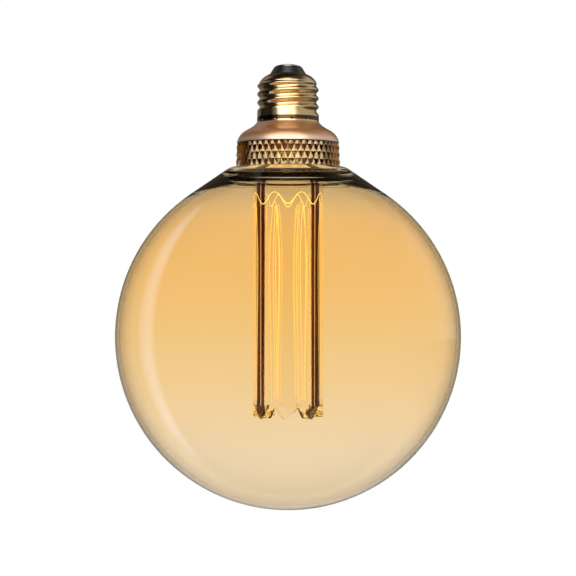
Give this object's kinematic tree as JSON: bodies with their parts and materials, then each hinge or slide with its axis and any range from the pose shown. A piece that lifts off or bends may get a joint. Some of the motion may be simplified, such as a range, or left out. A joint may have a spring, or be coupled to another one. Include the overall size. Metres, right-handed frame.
{
  "type": "globe bulb",
  "caption": "Large amber glass globe lamp with a brass screw cap, copper collar, diamond-cut resin ring and an engraved clear light guide tube inside.",
  "frame": {"origin": "on the lamp's axis, in the plane of the screw shell's lower edge, where it meets the collar", "axes": "+Z along the axis towards the end contact; the lamp hangs cap up; -Y is the side that faces the camera in the picture"},
  "size_m": [0.147, 0.147, 0.1897],
  "materials": {
    "contact_metal": "pressed and nickel plated, bright",
    "insulator_black": "glossy moulded",
    "brass": "rolled sheet, bright",
    "collar_copper": "satin metallic copper coat",
    "dark_aluminium": "matt dark plate",
    "cut_resin": "clear amber resin with polished facets",
    "amber_glass": "blown, amber coated, glossy",
    "clear_silicone": "clear cured bead",
    "guide_acrylic": "clear, polished, engraved",
    "ivory_plastic": "moulded satin",
    "steel": "zinc plated",
    "white_board": "white solder mask",
    "led_phosphor": "yellow phosphor in a white frame",
    "green_board": "green solder mask",
    "can_sleeve": "black shrink sleeve",
    "ferrite": "sintered drum with a lacquered winding",
    "film_case": "dipped red-brown case",
    "chip_black": "moulded package",
    "resistor_coat": "cement coat",
    "wire_red": "extruded sleeve",
    "wire_blue": "extruded sleeve",
    "wire_black": "extruded sleeve"
  },
  "bodies": {
    "root": {"end_contact": "contact_metal", "cap_insulator": "insulator_black", "screw_shell": "brass", "collar": "collar_copper", "carrier_plate": "dark_aluminium", "crystal_ring": "cut_resin", "globe_glass": "amber_glass", "glass_seal": "clear_silicone", "light_guide": "guide_acrylic", "guide_holder": "ivory_plastic", "carrier_screws": "steel", "led_board": "white_board", "led_chips": "led_phosphor", "driver_board": "green_board", "smoothing_capacitor": "can_sleeve", "choke": "ferrite", "film_capacitor": "film_case", "bridge_rectifier": "chip_black", "driver_chip": "chip_black", "fusible_resistor": "resistor_coat", "contact_lead": "wire_red", "shell_lead": "wire_blue", "led_lead_red": "wire_red", "led_lead_black": "wire_black"}
  },
  "joints": []
}
